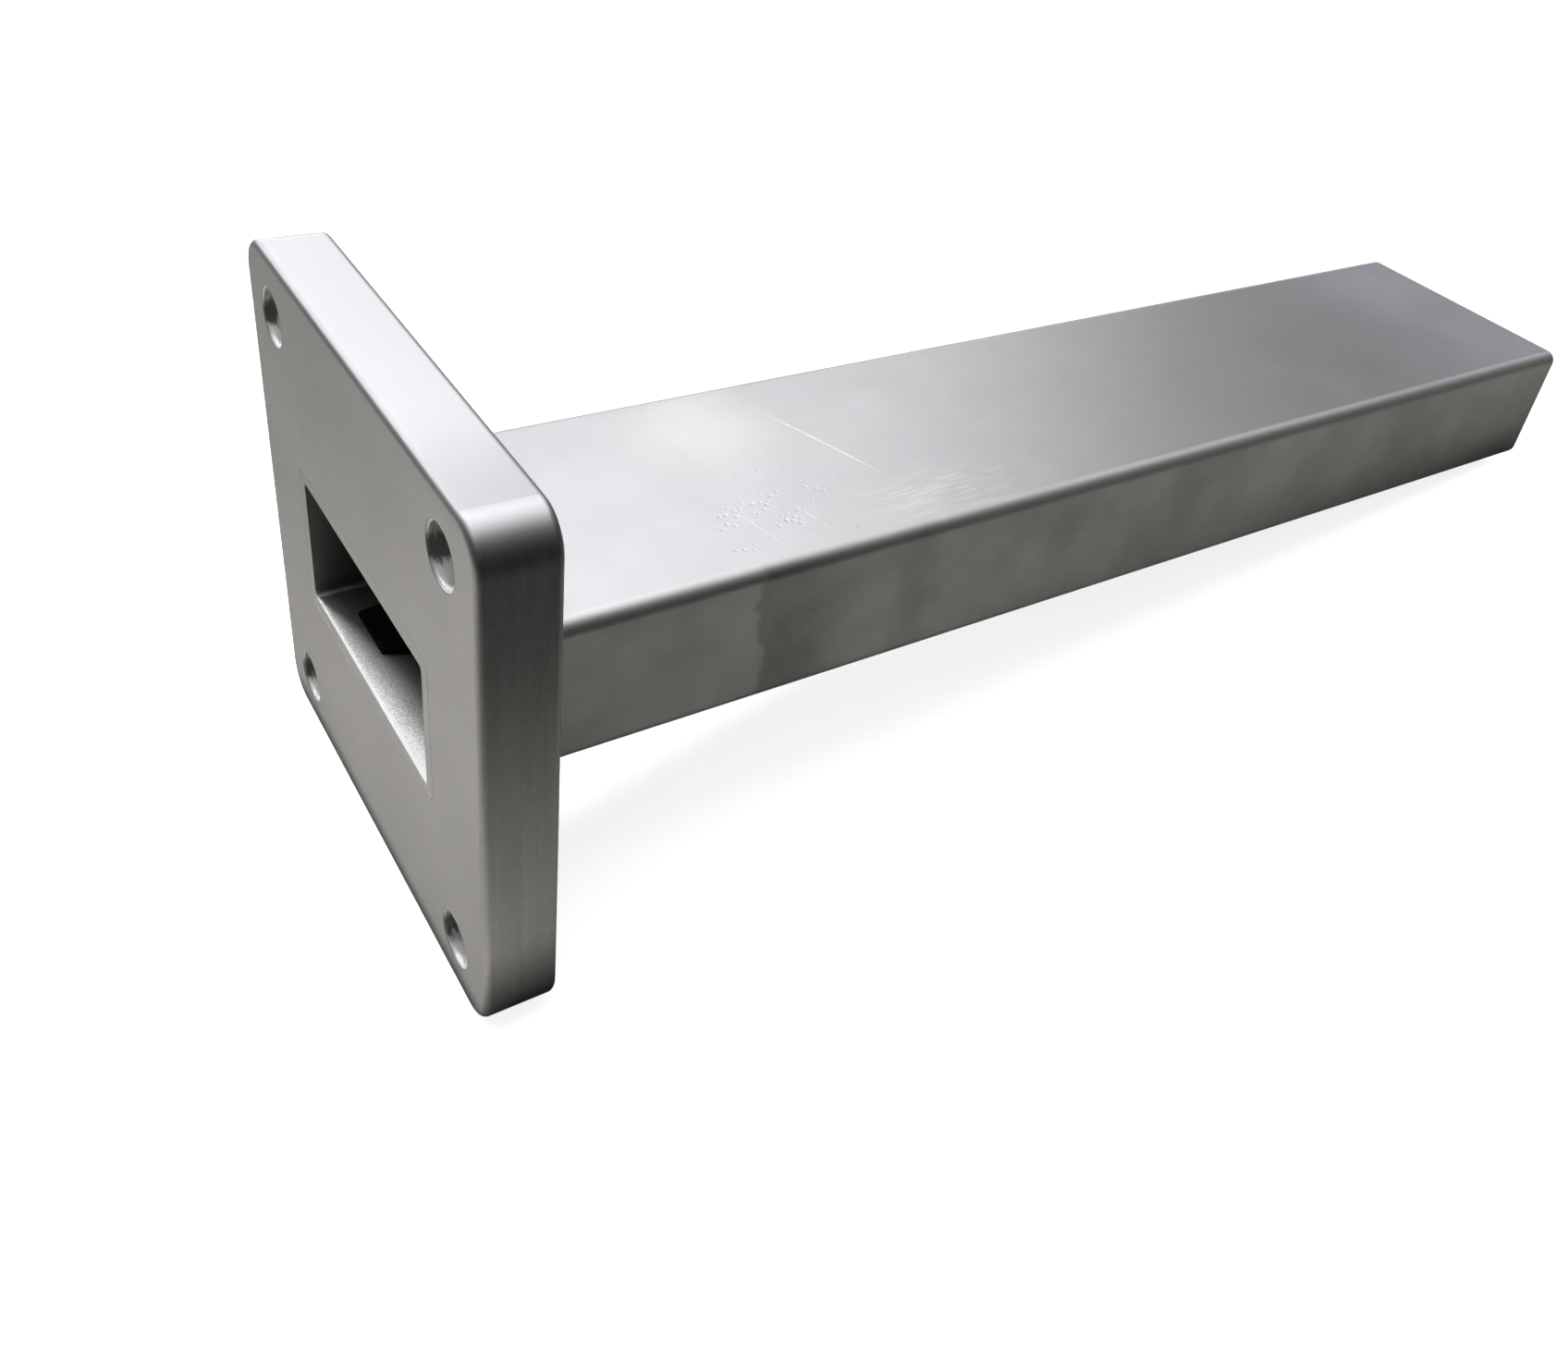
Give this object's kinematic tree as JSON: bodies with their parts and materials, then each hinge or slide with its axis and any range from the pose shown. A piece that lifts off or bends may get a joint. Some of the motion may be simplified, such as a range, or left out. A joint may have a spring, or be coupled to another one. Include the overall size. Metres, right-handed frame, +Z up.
{
  "type": "waveguide load",
  "caption": "Rectangular waveguide load: a square flange with screw holes on a straight tube, closed at its far end, with a black absorbing wedge inside.",
  "frame": {"origin": "centre of the waveguide mouth, in the flange's mating face", "axes": "+X along the tube from the mouth to the closed end, +Y across the broad side of the waveguide, +Z up across its narrow side"},
  "size_m": [0.122, 0.0414, 0.0414],
  "materials": {
    "flange_aluminium": "satin milled and blasted",
    "tube_aluminium": "satin extruded, lightly brushed",
    "plug_aluminium": "satin milled",
    "braze_metal": "satin as brazed",
    "absorber": "matt iron-loaded resin"
  },
  "bodies": {
    "root": {"flange": "flange_aluminium", "waveguide_tube": "tube_aluminium", "end_plug": "plug_aluminium", "braze_seam": "braze_metal", "absorber_wedge": "absorber"}
  },
  "joints": []
}
